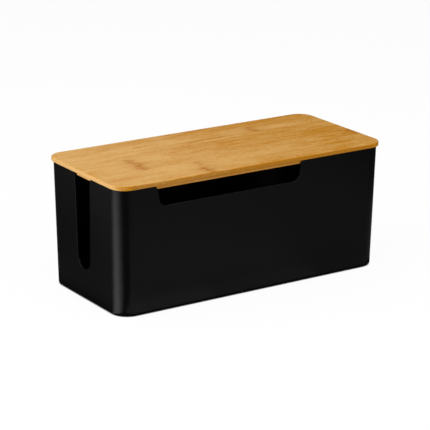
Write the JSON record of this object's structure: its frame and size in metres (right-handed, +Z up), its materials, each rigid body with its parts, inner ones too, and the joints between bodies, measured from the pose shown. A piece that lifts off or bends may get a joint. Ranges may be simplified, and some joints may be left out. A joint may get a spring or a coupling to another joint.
{
  "type": "cable management box",
  "caption": "Long rounded plastic tub that hides a power strip, with a loose bamboo lid, a notch in the front wall and a slot in each end wall for cables.",
  "frame": {"origin": "on the table, under the centre of the box, level with the bottoms of the feet", "axes": "+X along the length, -Y to the front, which is the wall with the long notch, and +Z up"},
  "size_m": [0.31, 0.14, 0.13],
  "materials": {
    "tub_plastic": "black polypropylene, fine satin",
    "bamboo": "flat-pressed bamboo, clear matt lacquer",
    "foot_rubber": "matt"
  },
  "bodies": {
    "tub": {"box_shell": "tub_plastic", "foot_front_left": "foot_rubber", "foot_front_right": "foot_rubber", "foot_rear_left": "foot_rubber", "foot_rear_right": "foot_rubber"},
    "lid": {"lid_top_strip_1": "bamboo", "lid_top_strip_2": "bamboo", "lid_top_strip_3": "bamboo", "lid_top_strip_4": "bamboo", "lid_top_strip_5": "bamboo", "lid_top_strip_6": "bamboo", "lid_top_strip_7": "bamboo", "lid_under_strip_1": "bamboo", "lid_under_strip_2": "bamboo", "lid_under_strip_3": "bamboo", "lid_under_strip_4": "bamboo", "lid_under_strip_5": "bamboo", "lid_under_strip_6": "bamboo", "lid_under_strip_7": "bamboo"}
  },
  "joints": [
    {"name": "lid_lift", "type": "slide", "parent": "tub", "child": "lid", "axis": [0, 0, 1], "range_m": [0, 0.15]}
  ]
}
